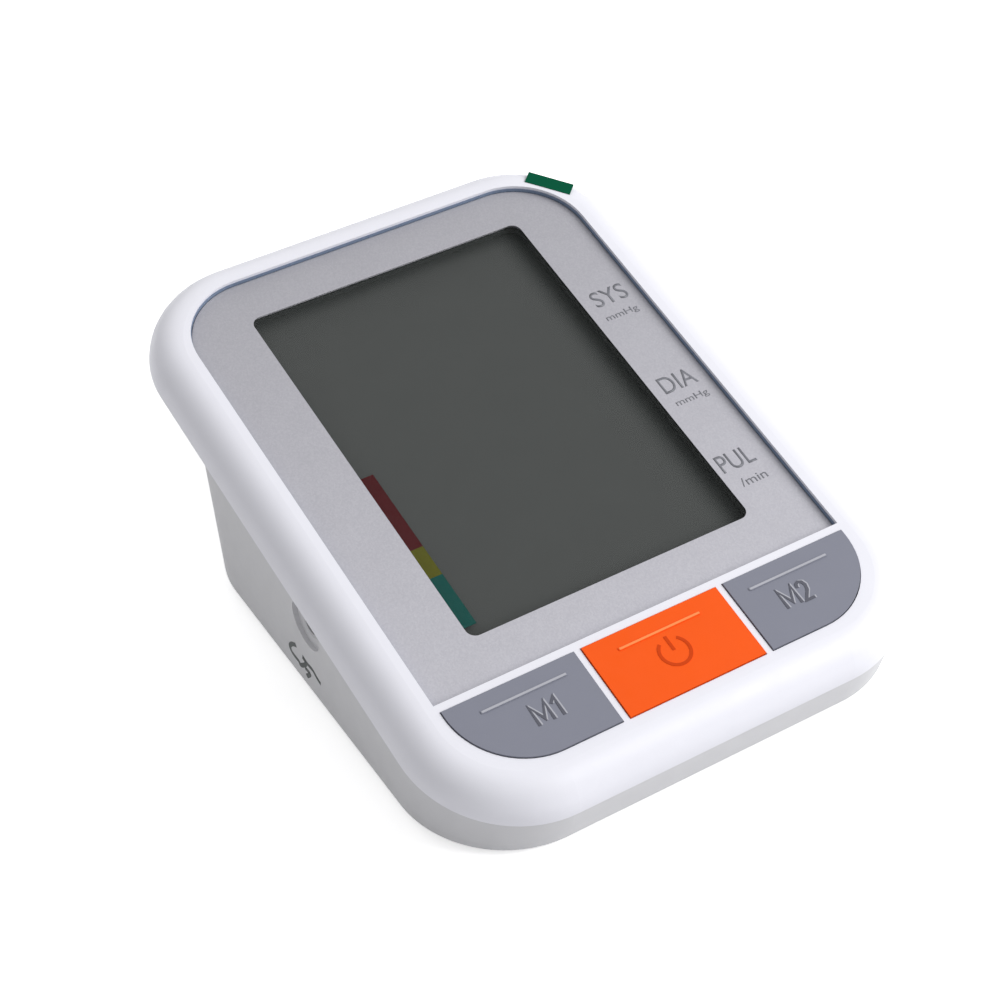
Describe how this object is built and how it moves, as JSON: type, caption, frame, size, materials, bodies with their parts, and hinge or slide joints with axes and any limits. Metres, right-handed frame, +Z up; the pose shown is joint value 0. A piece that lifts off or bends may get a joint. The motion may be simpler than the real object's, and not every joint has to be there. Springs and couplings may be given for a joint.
{
  "type": "upper-arm blood pressure monitor",
  "caption": "Desktop upper-arm blood pressure monitor: sloping face with a large display, front keys, battery bay below, pump, valve and side air socket.",
  "frame": {"origin": "on the table under the middle of the overall box", "axes": "+X right as the user reads it, +Y to the back, +Z up; the face slopes up towards +Y"},
  "size_m": [0.1066, 0.1372, 0.0481],
  "materials": {
    "white_casing": "satin white moulding",
    "green_film": "printed green film",
    "lens_panel": "clear panel with a grey printed border and a tinted film",
    "lcd_glass": "dark display glass",
    "level_print": "printed red, yellow and green scale",
    "holder": "natural white moulding",
    "elastomer": "striped elastomer",
    "grey_key": "satin grey",
    "orange_key": "satin orange",
    "stem_plastic": "black",
    "switch_plastic": "black",
    "board": "green solder mask",
    "steel_screws": "zinc plated",
    "chip": "moulded black",
    "buzzer": "moulded black",
    "capacitor": "sleeved can",
    "header": "natural nylon",
    "sensor": "white moulding",
    "grey_casing": "fine matte light grey moulding",
    "foot_rubber": "dark grey rubber",
    "cell_jacket": "plain cell jacket",
    "contact_metal": "nickel plated",
    "spring_metal": "nickel plated",
    "motor_can": "plated steel",
    "magnet": "sintered ferrite",
    "rotor": "steel stack",
    "pump_plastic": "black moulding",
    "socket_plastic": "mid grey moulding",
    "silicone": "translucent silicone",
    "valve_steel": "plated steel",
    "coil": "taped copper winding",
    "jack_plastic": "black moulding",
    "red_wire": "red insulation",
    "black_wire": "black insulation"
  },
  "bodies": {
    "monitor": {"upper_casing": "white_casing", "film_pull_tab": "green_film", "display_lens": "lens_panel", "lcd_glass": "lcd_glass", "pressure_level_strip": "level_print", "lcd_holder": "holder", "lcd_connector_strip": "elastomer", "tact_switches": "switch_plastic", "circuit_board": "board", "board_screws": "steel_screws", "microcontroller": "chip", "buzzer": "buzzer", "supply_capacitor": "capacitor", "wire_header": "header", "pressure_sensor": "sensor", "lower_casing": "grey_casing", "rubber_feet": "foot_rubber", "casing_screws": "steel_screws", "aa_cells": "cell_jacket", "battery_contacts": "contact_metal", "battery_springs": "spring_metal", "pump_motor_can": "motor_can", "pump_magnet_ring": "magnet", "pump_head": "pump_plastic", "air_socket": "socket_plastic", "air_manifold": "pump_plastic", "socket_hose": "silicone", "valve_hose": "silicone", "pump_hose": "silicone", "sensor_hose": "silicone", "valve_frame": "valve_steel", "valve_coil": "coil", "valve_seat": "pump_plastic", "power_jack": "jack_plastic", "pump_leads": "red_wire", "valve_leads": "black_wire"},
    "m1_button": {"m1_key": "grey_key", "m1_switch_stem": "stem_plastic"},
    "power_button": {"power_key": "orange_key", "power_switch_stem": "stem_plastic"},
    "m2_button": {"m2_key": "grey_key", "m2_switch_stem": "stem_plastic"},
    "battery_door": {"battery_door": "grey_casing"},
    "pump_rotor": {"pump_rotor": "rotor"},
    "valve_plunger": {"valve_plunger": "valve_steel"}
  },
  "joints": [
    {"name": "m1_press", "type": "slide", "parent": "monitor", "child": "m1_button", "axis": [0, 0.23, -0.9732], "range_m": [0, 0.0004], "stiffness_N_per_m": 4000},
    {"name": "power_press", "type": "slide", "parent": "monitor", "child": "power_button", "axis": [0, 0.23, -0.9732], "range_m": [0, 0.0004], "stiffness_N_per_m": 4000},
    {"name": "m2_press", "type": "slide", "parent": "monitor", "child": "m2_button", "axis": [0, 0.23, -0.9732], "range_m": [0, 0.0004], "stiffness_N_per_m": 4000},
    {"name": "battery_door_swing", "type": "hinge", "parent": "monitor", "child": "battery_door", "pos_m": [0.0122, -0.01946, 0.0008], "axis": [-1, 0, 0], "range_deg": [0, 80]},
    {"name": "pump_spin", "type": "hinge", "parent": "monitor", "child": "pump_rotor", "pos_m": [-0.0302, 0.01944, 0.0135], "axis": [0, 1, 0], "continuous": true},
    {"name": "valve_close", "type": "slide", "parent": "monitor", "child": "valve_plunger", "axis": [0, 1, 0], "range_m": [0, 0.0008], "stiffness_N_per_m": 400}
  ]
}
